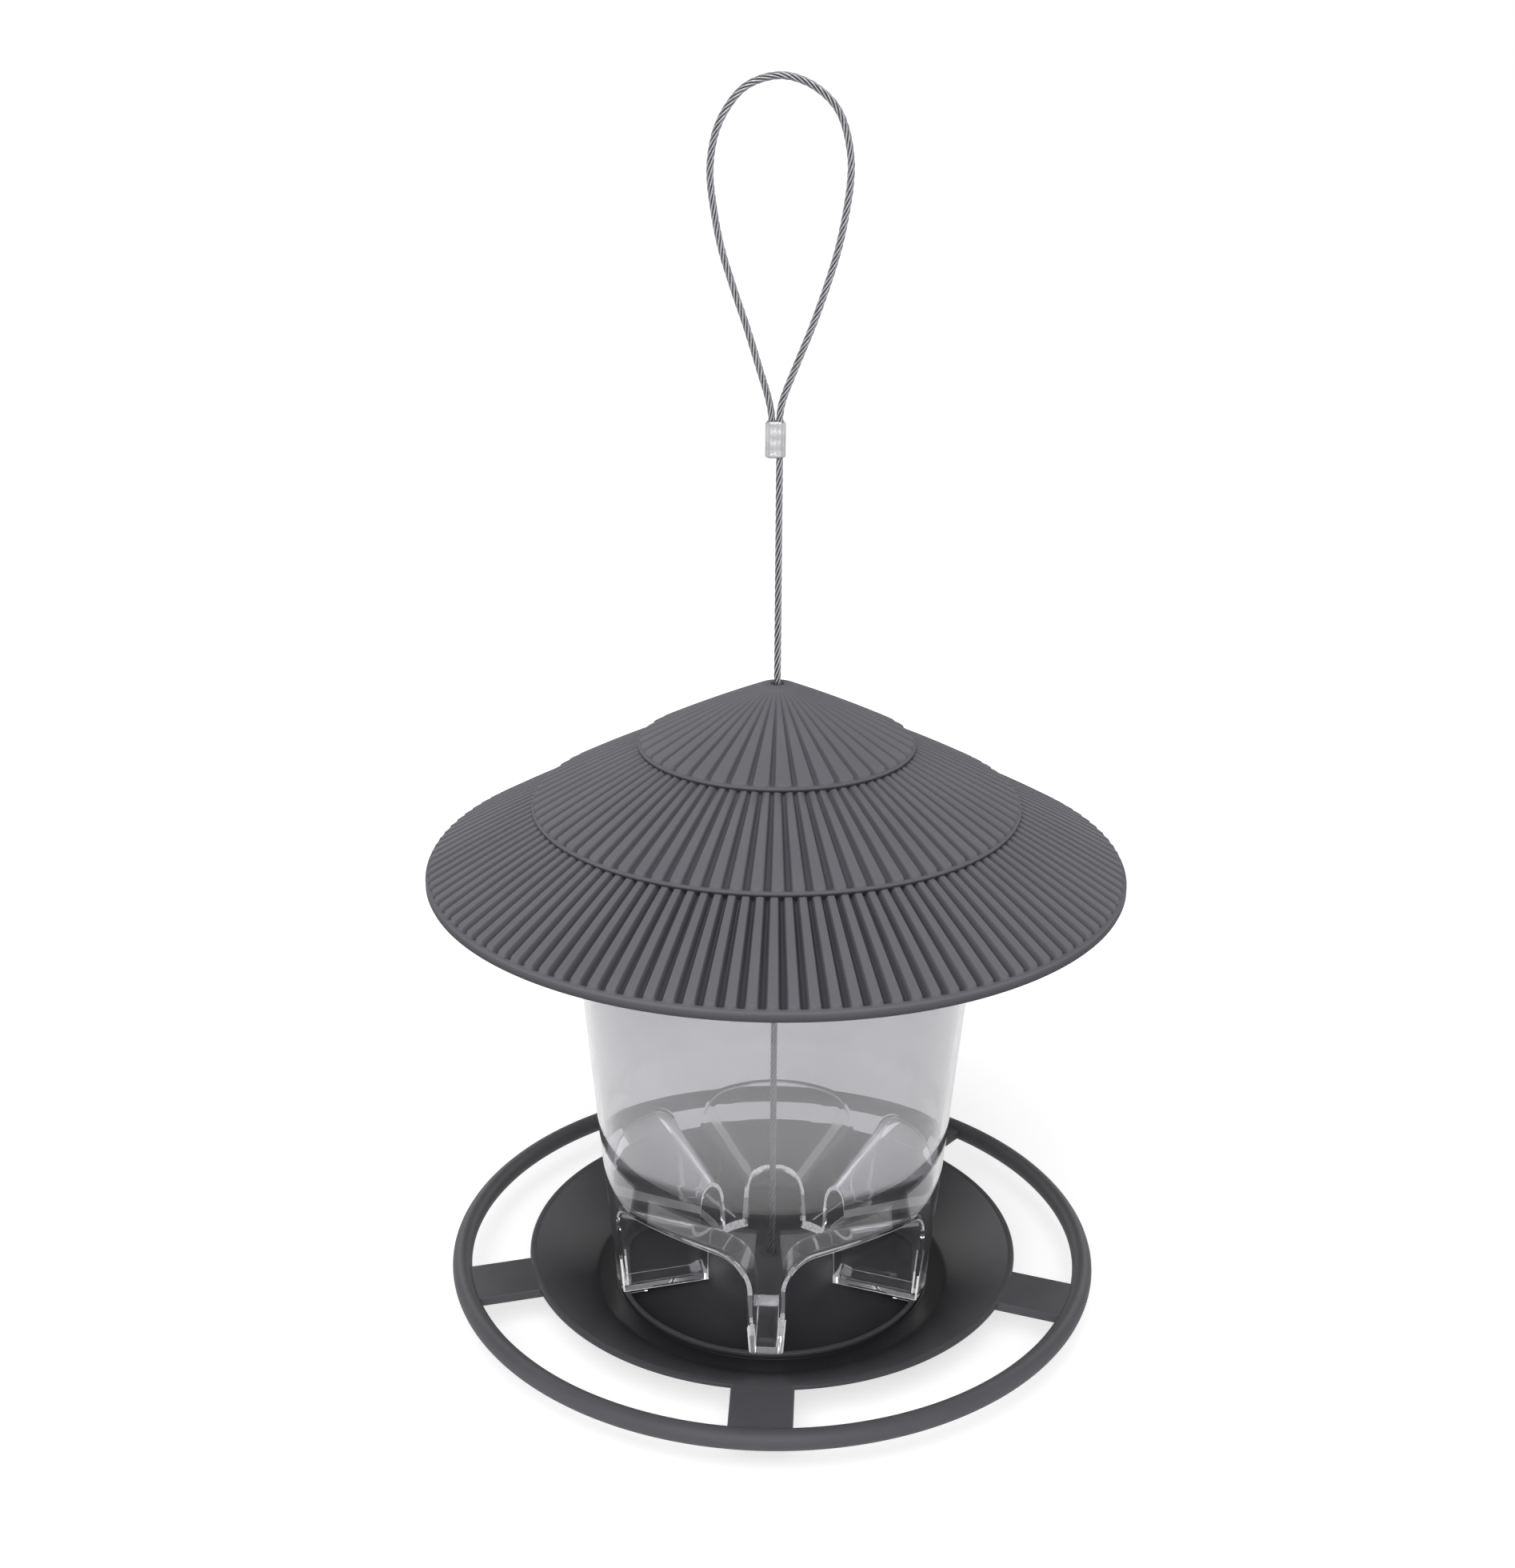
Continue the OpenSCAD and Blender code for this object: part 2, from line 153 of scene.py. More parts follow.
def surface(name, low, high, mottle, rough, grain, bump, dark=None, **sockets):
    """A material with mottled colour, uneven gloss and a fine grain, whose scales are per metre. With dark,
    the colour goes towards that one by the mesh's shade attribute, which paints shade in. sockets are the
    shader's other constants."""
    material = bpy.data.materials.new(name)
    material.use_nodes = True
    nodes, links = material.node_tree.nodes, material.node_tree.links
    shader = nodes["Principled BSDF"]
    for socket, value in sockets.items():
        shader.inputs[socket.replace("_", " ")].default_value = value
    place = nodes.new("ShaderNodeTexCoord")
    cloud = nodes.new("ShaderNodeTexNoise")
    cloud.inputs["Scale"].default_value = mottle
    cloud.inputs["Detail"].default_value = MOTTLE_DETAIL
    links.new(place.outputs["Object"], cloud.inputs["Vector"])
    tint = nodes.new("ShaderNodeValToRGB")
    for ramp_end, position, colour in zip(tint.color_ramp.elements, MOTTLE_RANGE, (low, high)):
        ramp_end.position = position
        ramp_end.color = (*colour, 1)
    links.new(cloud.outputs["Fac"], tint.inputs["Fac"])
    links.new(tint.outputs["Color"], shader.inputs["Base Color"])
    if dark:
        shade = nodes.new("ShaderNodeAttribute")
        shade.attribute_name = "shade"
        darkened = nodes.new("ShaderNodeMixRGB")
        darkened.inputs["Color2"].default_value = (*dark, 1)
        links.new(shade.outputs["Fac"], darkened.inputs["Fac"])
        links.new(tint.outputs["Color"], darkened.inputs["Color1"])
        links.new(darkened.outputs["Color"], shader.inputs["Base Color"])
    speck = nodes.new("ShaderNodeTexNoise")
    speck.inputs["Scale"].default_value = grain
    speck.inputs["Detail"].default_value = GRAIN_DETAIL
    links.new(place.outputs["Object"], speck.inputs["Vector"])
    gloss = nodes.new("ShaderNodeMapRange")
    gloss.inputs["To Min"].default_value = rough[0]
    gloss.inputs["To Max"].default_value = rough[1]
    links.new(speck.outputs["Fac"], gloss.inputs["Value"])
    links.new(gloss.outputs["Result"], shader.inputs["Roughness"])
    relief = nodes.new("ShaderNodeBump")
    relief.inputs["Strength"].default_value = bump
    relief.inputs["Distance"].default_value = GRAIN_DEPTH * MM
    links.new(speck.outputs["Fac"], relief.inputs["Height"])
    links.new(relief.outputs["Normal"], shader.inputs["Normal"])
    return material


# The pale colours are the cone's painted pool of light, dark is the floor's painted shade, and the wall's
# own grey lies between them.
dish_plastic = surface(
    "dish plastic", low=(0.088, 0.086, 0.097), high=(0.102, 0.1, 0.113), mottle=45,
    rough=(0.4, 0.44), grain=1400, bump=0.015, dark=(0.012, 0.0118, 0.0135), Specular_IOR_Level=0.12,
)
dish_outline = rounded([
    (HUB_HOLE_R, HUB_CEILING_Z, HOLE_ROUND),
    (HUB_HOLE_R, HUB_TOP_Z, EDGE_ROUND),
    (HUB_TOP_R, HUB_TOP_Z, HUB_TOP_ROUND),
    (HUB_FOOT_R, FLOOR_Z, HUB_FOOT_ROUND),
    (BEAD_INNER_R, FLOOR_Z, BEAD_ROOT_ROUND),
    (BEAD_INNER_R, FOOT_Z, EDGE_ROUND),
    (BEAD_OUTER_R, FOOT_Z, EDGE_ROUND),
    (BEAD_OUTER_R, FLOOR_Z, BEAD_ROOT_ROUND),
    (FLOOR_R - WALL_IN, FLOOR_Z, FLOOR_ROUND),
    (DISH_R - RIM_TOP_W, DISH_RIM_Z, RIM_ROUND),
    (DISH_R, DISH_RIM_Z, EDGE_ROUND),
    (DISH_R, DISH_RIM_Z - RIM_T, EDGE_ROUND),
    (FLOOR_R + WALL_OUT, 0, DISH_FOOT_ROUND),
    (RECESS_FOOT_R, 0, RECESS_ROUND),
    (RECESS_R, HUB_CEILING_Z - RECESS_WALL_H, EDGE_ROUND),
    (RECESS_R, HUB_CEILING_Z, HOLE_ROUND),
])
dish_points, dish_faces = lathe(dish_outline[::-1], DISH_COLUMNS)
# Painted shade and light: the floor is painted darkest as shade, the wall, rim and outside keep the
# plastic's own grey, and the cone in the middle is painted palest as a pool of light.
from_axis = np.hypot(dish_points[:, 0], dish_points[:, 1])
height = dish_points[:, 2]
bead_w = BEAD_OUTER_R - BEAD_INNER_R
on_bead = (abs(from_axis - BEAD_INNER_R - bead_w / 2) < bead_w) & (height > FLOOR_Z + EDGE_ROUND)
inside = (height > FLOOR_Z / 2) & ~on_bead
floor_painted_shade = np.clip((DISH_R - PALE_RIM_W - from_axis) / (DISH_R - FLOOR_R), 0, 1) * inside
painted_light_pool = np.interp(from_axis, LIGHT_POOL_FADE_R, (1, 0)) * inside
dish_painted_shade_and_light = 1 - np.maximum(WALL_LIGHT * (1 - floor_painted_shade), painted_light_pool)
dish = make_piece(
    "dish_moulding", dish_points, dish_faces, "dish", dish_plastic, shade=dish_painted_shade_and_light
)
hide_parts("dish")

# The perch is a round bar on five flat spokes, moulded in the same dark plastic on the outside of the dish's
# wall, with a spoke in line with each of the hopper's legs. Birds stand on the bar.
LEG_COUNT = 5
LEG_STEP = 2 * math.pi / LEG_COUNT
FIRST_LEG = -math.pi / 2
RING_R = 97
BAR_R = 3
BAR_SIDES = 28
RING_COLUMNS = 300
SPOKE_W = 18
SPOKE_T = 3
SPOKE_ROUND = 0.6
SPOKE_IN_RIM = 0.5
SPOKE_IN_BAR = 2
SPOKE_ROOT_SLANT = 1.2
legs = [FIRST_LEG + k * LEG_STEP for k in range(LEG_COUNT)]


def bent_bar(ring_r, bar_r, z):
    """The points and faces of a round bar bent into a ring."""
    turn = np.linspace(0, 2 * math.pi, BAR_SIDES, endpoint=False)
    section = np.stack([ring_r + bar_r * np.cos(turn), z + bar_r * np.sin(turn)], axis=1)
    return lathe(section, RING_COLUMNS)


def capped_faces(rows, columns):
    """Faces of a tube whose rows of points go all the way round, with a cap on both ends."""
    sides = grid_faces(rows, columns).tolist()
    first = list(range(columns))
    last = [corner + (rows - 1) * columns for corner in first]
    return sides + [first[::-1], last]


def straight_bar(outline, start, end):
    """A straight bar along X with that closed (y, z) outline, capped at both ends."""
    points = [(x, y, z) for x in (start, end) for y, z in outline]
    return np.array(points), capped_faces(2, len(outline))


def turned(points, angle):
    """Points turned round the Z axis."""
    c, s = math.cos(angle), math.sin(angle)
    return np.asarray(points) @ np.array([[c, s, 0], [-s, c, 0], [0, 0, 1]])


def united(parts):
    """One closed mesh from overlapping ones, each given as points and faces."""
    blocks = []
    for points, faces in parts:
        mesh = bpy.data.meshes.new("block")
        mesh.from_pydata(np.asarray(points).tolist(), [], [list(map(int, f)) for f in faces])
        block = bpy.data.objects.new("block", mesh)
        bpy.context.scene.collection.objects.link(block)
        blocks.append(block)
    for other in blocks[1:]:
        merge = blocks[0].modifiers.new("merge", "BOOLEAN")
        merge.operation = "UNION"
        merge.solver = "EXACT"
        merge.object = other
    whole = blocks[0].evaluated_get(bpy.context.evaluated_depsgraph_get()).to_mesh()
    points = np.array([vertex.co for vertex in whole.vertices])
    faces = [list(face.vertices) for face in whole.polygons]
    for block in blocks:
        mesh = block.data
        bpy.data.objects.remove(block)
        bpy.data.meshes.remove(mesh)
    return points, faces


perch_plastic = surface(
    "perch plastic", low=(0.065, 0.064, 0.071), high=(0.075, 0.074, 0.082), mottle=45,
    rough=(0.5, 0.58), grain=1400, bump=0.05, Specular_IOR_Level=0.15,
)
spoke_outline = rounded([
    (-SPOKE_W / 2, DISH_RIM_Z - SPOKE_T, SPOKE_ROUND),
    (SPOKE_W / 2, DISH_RIM_Z - SPOKE_T, SPOKE_ROUND),
    (SPOKE_W / 2, DISH_RIM_Z, SPOKE_ROUND),
    (-SPOKE_W / 2, DISH_RIM_Z, SPOKE_ROUND),
])
spoke_start = DISH_R - SPOKE_IN_RIM
spoke_end = RING_R - BAR_R + SPOKE_IN_BAR
spoke_points, spoke_faces = straight_bar(spoke_outline, spoke_start, spoke_end)
spoke_root = spoke_points[: len(spoke_outline)]
spoke_root[:, 0] -= (DISH_RIM_Z - spoke_root[:, 2]) * SPOKE_ROOT_SLANT
ring = bent_bar(RING_R, BAR_R, DISH_RIM_Z - SPOKE_T / 2)
spokes = [(turned(spoke_points, leg), spoke_faces) for leg in legs]
perch_points, perch_faces = united([ring] + spokes)
perch = make_piece("perch_moulding", perch_points, perch_faces, "dish", perch_plastic)
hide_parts("perch_ring")

# The rope is 2 mm stranded steel wire: six strands laid round a core. It starts in the stop under the
# hub, runs straight up through hub, hopper and roof, and comes back round the loop into the ferrule.
ROPE_R = 1
STRANDS = 6
STRAND_R = ROPE_R / 3
STRAND_PLACE_R = 2 * ROPE_R / 3
STRAND_SIDES = 8
ROPE_LAY = 14
SEAM_SPREAD = 0.6
ROUTE_STEPS = 24
ROPE_ROW_GAP = 0.5
STRAIGHT_RUN = [
    (0, 1), (0, 30), (0, 60), (0, 90), (0, 120), (0, 150), (0, 180), (0, 210), (0, 240), (0, 256),
]
LOOP_RUN = [
    (0, 262), (0, 268), (0, 272), (1, 277), (4.5, 286), (8.5, 296), (12, 306), (15, 316), (17, 326),
    (18, 335), (17.5, 342), (15.5, 349), (12, 354), (6, 358), (-1, 359.5), (-8.5, 357.5), (-13.5, 353),
    (-17.5, 345.5), (-19, 336), (-18, 326), (-16, 316), (-12.5, 305), (-9, 295), (-5.5, 284), (-3.3, 277),
    (-2.3, 272), (-2.3, 268), (-2.3, 261),
]


def smooth_route(points):
    """Evenly spaced points on a smooth curve through a route's (x, z) points, and how far along each is."""
    p = np.array([(x, 0, z) for x, z in points], float)
    p = np.vstack([p[:1], p, p[-1:]])
    t = np.linspace(0, 1, ROUTE_STEPS, endpoint=False)[:, None]
    curve = []
    for a, b, c, d in zip(p, p[1:], p[2:], p[3:]):
        heading = (c - a) / 2
        square = a - 2.5 * b + 2 * c - d / 2
        cube = 1.5 * b - a / 2 - 1.5 * c + d / 2
        curve.append(b + heading * t + square * t**2 + cube * t**3)
    curve = np.vstack(curve + [p[-1:]])
    steps = np.linalg.norm(np.diff(curve, axis=0), axis=1)
    run = np.concatenate([[0], np.cumsum(steps)])
    even = np.linspace(0, run[-1], int(run[-1] / ROPE_ROW_GAP) + 1)
    return np.stack([np.interp(even, run, curve[:, k]) for k in range(3)], axis=1), even


def stranded(route, run):
    """A rope's lobed section swept along its route, turning once in a lay. Also how deep each point lies
    in the seam between two strands, which sets the painted shade there."""
    angle = np.linspace(0, 2 * math.pi, STRANDS * STRAND_SIDES, endpoint=False)
    lobe = angle % (2 * math.pi / STRANDS) - math.pi / STRANDS
    bulge = np.sqrt(np.maximum(STRAND_R**2 - (STRAND_PLACE_R * np.sin(lobe)) ** 2, 0))
    reach = STRAND_PLACE_R * np.cos(lobe) + bulge
    heading = np.gradient(route, axis=0)
    heading /= np.linalg.norm(heading, axis=1)[:, None]
    side = np.cross([0, 1, 0], heading)
    turn = angle[None, :] + (2 * math.pi * run / ROPE_LAY)[:, None]
    points = route[:, None, :] + (reach * np.cos(turn))[..., None] * side[:, None, :]
    points[..., 1] += reach * np.sin(turn)
    depth = (ROPE_R - reach) / (ROPE_R - reach.min())
    seam = np.broadcast_to(depth**SEAM_SPREAD, turn.shape)
    return points.reshape(-1, 3), capped_faces(*turn.shape), seam


# The steel is painted darker deep in the seams between the strands, as painted shade.
rope_steel = surface(
    "rope steel", low=(0.29, 0.29, 0.31), high=(0.42, 0.42, 0.44), mottle=900,
    rough=(0.28, 0.5), grain=3000, bump=0.3, dark=(0.008, 0.008, 0.009), Metallic=0.7,
)
rope_route, rope_run = smooth_route(STRAIGHT_RUN + LOOP_RUN)
rope_points, rope_faces, rope_seam_shade = stranded(rope_route, rope_run)
rope = make_piece(
    "rope_strands", rope_points, rope_faces, "rope", rope_steel, sharp=80, shade=rope_seam_shade
)
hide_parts("hanging_rope")

# The stop is a short aluminium tube pressed on the rope's lower end. The hub sits down on it, so the
# whole feeder hangs from it, out of sight in the hub's recess.
STOP_R = 2.8
STOP_FOOT_Z = 1
STOP_BORE_GAP = 0.1
STOP_BORE_ROUND = 0.1
WAIST_DEPTH = 0.35
WAIST_FOOT_Z = 2.4
WAIST_TOP_Z = 4.6
WAIST_SLOPE_H = 0.4
WAIST_ROUND = 0.6
CRIMP_SIDES = 64
aluminium = surface(
    "aluminium", low=(0.36, 0.36, 0.37), high=(0.46, 0.46, 0.47), mottle=300,
    rough=(0.3, 0.45), grain=1800, bump=0.3, Metallic=0.9,
)
stop_bore_r = ROPE_R + STOP_BORE_GAP
waist_r = STOP_R - WAIST_DEPTH
stop_outline = rounded([
    (stop_bore_r, STOP_FOOT_Z, STOP_BORE_ROUND),
    (STOP_R, STOP_FOOT_Z, EDGE_ROUND),
    (STOP_R, WAIST_FOOT_Z, WAIST_ROUND),
    (waist_r, WAIST_FOOT_Z + WAIST_SLOPE_H, WAIST_ROUND),
    (waist_r, WAIST_TOP_Z - WAIST_SLOPE_H, WAIST_ROUND),
    (STOP_R, WAIST_TOP_Z, WAIST_ROUND),
    (STOP_R, HUB_CEILING_Z, EDGE_ROUND),
    (stop_bore_r, HUB_CEILING_Z, STOP_BORE_ROUND),
])
stop_points, stop_faces = lathe(stop_outline, CRIMP_SIDES)
stop = make_piece("stop_crimp", stop_points, stop_faces, "rope", aluminium)
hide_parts("stop_ferrule")

# The hopper is one clear polished moulding: a tapered wall over five tunnels that rise outward to arched
# ports, and trough-shaped legs between them. It stands loose on the dish's bead, located by small lugs.
HOPPER_T = 1.8
HOPPER_FOOT_R = 49.2
HOPPER_MOUTH_R = 63
MOUTH_Z = 159.9
LEG_W = 11.6
FOOT_TAPER = 0.8
FOOT_TAPER_H = 12
FOOT_LIP_H = 1.4
OPENING_R = 22.5
DOOR_H = 20.2
ARCH_H = 36
CORNER_R = 7
CORNER_FLARE = 0.13
FOLD_W = 0.35
LUG_L = 5.5
LUG_W = 7.5
LUG_GAP = 0.4
LUG_SEAM = 0.03
LUG_FOOT_ROUND = 0.3
LUG_ROOT_ROUND = 0.1
half_step = LEG_STEP / 2


def wall_r(z):
    """The outer radius of the tapered wall at a height."""
    return HOPPER_FOOT_R + (z - FOOT_Z) * (HOPPER_MOUTH_R - HOPPER_FOOT_R) / (MOUTH_Z - FOOT_Z)


# Lines run out along each leg and tunnel, fold up round the port's edge and fan out over the wall. They lie
# close together on the feet and corners, so that each edge of the moulding falls on a line.
FOOT_COLUMNS = 7
FOOT_EDGE = 0.9
SIDE_COLUMNS = 8
SIDE_START = 0.03
CORNER_COLUMNS = 13
CEILING_COLUMNS = 21
TUNNEL_ROWS = 15
FOOT_LIP_ROWS = 2
FAN_ROWS = 13
WALL_ROWS = 19
FAN_TOP_Z = 52
FAN_FOOT = math.radians(2)
FAN_SIDE = math.radians(1.7)
FAN_GAP = 0.1
NEAREST = 5.0
FARTHEST = 90.0
HALVINGS = 50
PORT_SLOPE = (ARCH_H - DOOR_H) / (wall_r(FOOT_Z + ARCH_H) - OPENING_R)


def port_columns():
    """Lines along one leg and the tunnel after it, as (kind, share) pairs in order round the hopper."""
    up_side = np.linspace(SIDE_START, 1, SIDE_COLUMNS)[:-1]
    round_corner = np.linspace(0, math.pi / 2, CORNER_COLUMNS)
    columns = [("foot", y) for y in np.linspace(-FOOT_EDGE, FOOT_EDGE, FOOT_COLUMNS)]
    columns += [("rise", f) for f in up_side]
    columns += [("corner", a) for a in round_corner]
    columns += [("ceiling", q) for q in np.linspace(-1, 1, CEILING_COLUMNS)[1:-1]]
    columns += [("far corner", a) for a in round_corner[::-1]]
    columns += [("fall", f) for f in up_side[::-1]]
    return columns


def on_column(kind, share, d, grow):
    """A point of a column in its tunnel's frame: distance out, place across and height. grow is how far
    inside the wall's outer skin it lies."""
    half_leg = LEG_W / 2 - grow
    foot = FOOT_Z + grow
    half_w = d * math.tan(half_step) - half_leg / math.cos(half_step)
    ceiling = FOOT_Z + DOOR_H + PORT_SLOPE * (d - OPENING_R) + grow * math.hypot(1, PORT_SLOPE)
    corner = CORNER_R + CORNER_FLARE * (d - OPENING_R) + grow
    if kind == "foot":
        return d, share * (half_leg - FOOT_TAPER), foot
    if kind == "ceiling":
        return d, share * (half_w - corner), ceiling
    if kind in ("rise", "fall"):
        rise = share * (ceiling - corner - foot)
        across = half_w + FOOT_TAPER * max(0, 1 - rise / FOOT_TAPER_H) / math.cos(half_step)
        z = foot + rise
    else:
        across = half_w - corner + corner * math.cos(share)
        z = ceiling - corner + corner * math.sin(share)
    return d, (-across if kind in ("rise", "corner") else across), z


def reach_of(kind, share, grow, radius_at):
    """How far out a column meets a round wall whose radius depends on the height."""
    low, high = NEAREST, FARTHEST
    for _ in range(HALVINGS):
        middle = (low + high) / 2
        d, across, z = on_column(kind, share, middle, grow)
        if math.hypot(d, across) < radius_at(z):
            low = middle
        else:
            high = middle
    return low


def away_from_port(kind, share):
    """The way from a port's edge into the wall, as steps round and up."""
    if kind in ("foot", "ceiling"):
        return 0, 1
    if kind in ("rise", "fall"):
        share = 0
    side = -1 if kind in ("rise", "corner") else 1
    return side * math.cos(share), math.sin(share)


def fan_angle(kind, share, leg, angle):
    """Where round the hopper a column that starts at an angle stands once it is above the ports."""
    if kind == "foot":
        return leg + FAN_FOOT * share
    if kind == "rise":
        return leg + FAN_FOOT + FAN_SIDE * (FAN_GAP + share)
    if kind == "fall":
        return leg + LEG_STEP - FAN_FOOT - FAN_SIDE * (FAN_GAP + share)
    return angle


def on_wall(angle, z, grow):
    """A point of the tapered wall."""
    r = wall_r(z) - grow
    return np.array([r * math.cos(angle), r * math.sin(angle), z])


def tunnel_points(kind, share, leg, grow):
    """A column's points from an inner door out to the wall, where the last one is the port's own edge."""
    start = reach_of(kind, share, grow, lambda z: OPENING_R)
    end = reach_of(kind, share, grow, lambda z: wall_r(z) - grow)
    out = list(np.linspace(start, end - FOLD_W, TUNNEL_ROWS)) + [end]
    along = [on_column(kind, share, d, grow) for d in out]
    if kind == "foot" and grow:
        lip = along[:FOOT_LIP_ROWS]
        along[:FOOT_LIP_ROWS] = [(d, across, z + FOOT_LIP_H) for d, across, z in lip]
    return list(turned(along, leg if kind == "foot" else leg + half_step))


def wall_points(kind, share, leg, grow, edge):
    """A column's points from just past the port's edge up the wall to the mouth."""
    x, y, z = edge
    middle = leg + half_step
    aside, up = away_from_port(kind, share)
    angle = middle + math.remainder(math.atan2(y, x) - middle, 2 * math.pi)
    angle += aside * FOLD_W / wall_r(z)
    low = z + up * FOLD_W
    fan_top = fan_angle(kind, share, leg, angle)
    points = []
    for t in np.linspace(0, 1, FAN_ROWS):
        points.append(on_wall(angle + t * (fan_top - angle), low + t * (FAN_TOP_Z - low), grow))
    for z in np.linspace(FAN_TOP_Z, MOUTH_Z, WALL_ROWS)[1:]:
        points.append(on_wall(fan_top, z, grow))
    return points


def hopper_skin(grow):
    """One side of the hopper's wall, as rows from the inner doors out along the tunnels to the mouth."""
    lines = []
    for leg in legs:
        for kind, share in port_columns():
            *tunnel, edge = tunnel_points(kind, share, leg, grow)
            lines.append(tunnel + wall_points(kind, share, leg, grow, edge))
    return np.array(lines).transpose(1, 0, 2)


def joined(parts):
    """One list of points and one of faces from several."""
    points, faces, first = [], [], 0
    for part_points, part_faces in parts:
        points.extend(part_points)
        faces.extend([[int(v) + first for v in face] for face in part_faces])
        first += len(part_points)
    return np.array(points), faces


DOOR_RIM_SPLIT = 0.36
outer, inner = hopper_skin(0), hopper_skin(HOPPER_T)
door_rim = outer[:1] + DOOR_RIM_SPLIT * (inner[:1] - outer[:1])
loop = np.concatenate([outer, inner[::-1], door_rim])
skin_rows = len(outer)
rows, columns = loop.shape[:2]
wall = (loop.reshape(-1, 3), grid_faces(rows, columns, closed_rows=True))
lug_end = BEAD_INNER_R - LUG_GAP
lug_outline = rounded([
    (-LUG_W / 2, FLOOR_Z + LUG_GAP, LUG_FOOT_ROUND),
    (LUG_W / 2, FLOOR_Z + LUG_GAP, LUG_FOOT_ROUND),
    (LUG_W / 2, FOOT_Z - LUG_SEAM, LUG_ROOT_ROUND),
    (-LUG_W / 2, FOOT_Z - LUG_SEAM, LUG_ROOT_ROUND),
], steps=3)
lug_points, lug_faces = straight_bar(lug_outline, lug_end - LUG_L, lug_end)
hopper_points, hopper_faces = joined([wall] + [(turned(lug_points, leg), lug_faces) for leg in legs])

# The plastic is clear apart from a faint haze, which is stronger up the wall and lowers the shader's
# transmission. More haze in the middle of the tunnels' corners is a painted highlight. Edges that catch the
# light are painted as glowing highlights in a bright and a soft strength, with materials of their own.
HAZE_HEIGHTS = (0, 36, 43, 55, 66, 80)
HAZE_AMOUNTS = (0.035, 0.03, 0.015, 0.02, 0.1, 0.16)
# The extra haze of the painted highlight in the corners, and how narrow its band is.
CORNER_GLINT_HAZE = 0.3
BEND_POWER = 16
PLASTIC_IOR = 1.49
WHITE = (1, 1, 1, 1)
clear_plastic = surface(
    "clear plastic", low=(0.69, 0.69, 0.71), high=(0.73, 0.73, 0.75), mottle=30,
    rough=(0.005, 0.015), grain=500, bump=0.003, IOR=PLASTIC_IOR,
)
clear_nodes, clear_links = clear_plastic.node_tree.nodes, clear_plastic.node_tree.links
haze = clear_nodes.new("ShaderNodeAttribute")
haze.attribute_name = "shade"
clearness = clear_nodes.new("ShaderNodeMath")
clearness.operation = "SUBTRACT"
clearness.inputs[0].default_value = 1
clear_links.new(haze.outputs["Fac"], clearness.inputs[1])
clear_links.new(clearness.outputs["Value"], clear_nodes["Principled BSDF"].inputs["Transmission Weight"])
# A painted highlight: white, partly clear and glowing a little, for edges that catch the light.
painted_glow_edge = surface(
    "bright edge", low=(0.9, 0.9, 0.92), high=(0.95, 0.95, 0.96), mottle=200,
    rough=(0.2, 0.35), grain=900, bump=0.05,
    Transmission_Weight=0.3, IOR=PLASTIC_IOR, Emission_Color=WHITE, Emission_Strength=0.35,
)
# A fainter painted highlight and glow, for the arches and the middle of the tunnels' inner corners.
painted_glint_edge = surface(
    "soft edge", low=(0.88, 0.88, 0.9), high=(0.93, 0.93, 0.94), mottle=200,
    rough=(0.15, 0.3), grain=900, bump=0.05,
    Transmission_Weight=0.6, IOR=PLASTIC_IOR, Emission_Color=WHITE, Emission_Strength=0.08,
)
# A painted highlight: the haze is raised in a narrow band along the middle of each corner's arc inside the
# tunnels.
kinds, shares = zip(*port_columns() * LEG_COUNT)
corner_glint = np.zeros(columns)
for column, (kind, share) in enumerate(zip(kinds, shares)):
    if "corner" in kind:
        corner_glint[column] = math.sin(2 * share) ** BEND_POWER
over_tunnel = np.arange(rows)[:, None] >= 2 * skin_rows - TUNNEL_ROWS
wall_haze_and_glint = np.interp(loop[..., 2], HAZE_HEIGHTS, HAZE_AMOUNTS) + CORNER_GLINT_HAZE * over_tunnel * corner_glint
hopper_haze_and_glint = np.concatenate([wall_haze_and_glint.ravel(), np.zeros(LEG_COUNT * len(lug_points))])
hopper = make_piece(
    "hopper_moulding", hopper_points, hopper_faces, "hopper", clear_plastic,
    shade=hopper_haze_and_glint,
)
hopper.data.materials.append(painted_glow_edge)
hopper.data.materials.append(painted_glint_edge)
CLEAR, PAINTED_GLOW, PAINTED_GLINT = range(3)
LOW_SIDE = 0.5
ARCH_START = math.radians(35)
FOOT_LIP_SIDE = 0.2
BOTH_BENT = 1.5


def face_glow_paint(row, column):
    """Which of the clear plastic, the painted glow and the painted glint one face of the wall takes. Rows
    count up the outside, over the mouth and down the inside, and the last two rows are the inner and the
    outer half of the doors' rim."""
    kind, share = kinds[column], shares[column]
    after = (column + 1) % columns
    outside = row < skin_rows
    from_door = min(row, 2 * skin_rows - 2 - row)
    port_edge = from_door == TUNNEL_ROWS - 1
    on_side = kind in ("rise", "fall")
    if from_door < 0:
        inner_half = from_door == -1
        if on_side and share > FOOT_LIP_SIDE:
            return PAINTED_GLINT if inner_half else CLEAR
        return PAINTED_GLOW if inner_half or kind == "foot" else CLEAR
    if from_door == skin_rows - 1:
        return PAINTED_GLOW
    if from_door < TUNNEL_ROWS and outside and (kind, kinds[after]) in (("foot", "rise"), ("fall", "foot")):
        return PAINTED_GLOW
    if port_edge and (kind == "foot" or on_side and share < LOW_SIDE):
        return PAINTED_GLOW
    if port_edge and outside and (kind == "ceiling" or "corner" in kind and share > ARCH_START):
        return PAINTED_GLINT
    if from_door < TUNNEL_ROWS - 1 and not outside and corner_glint[column] + corner_glint[after] > BOTH_BENT:
        return PAINTED_GLINT
    return CLEAR


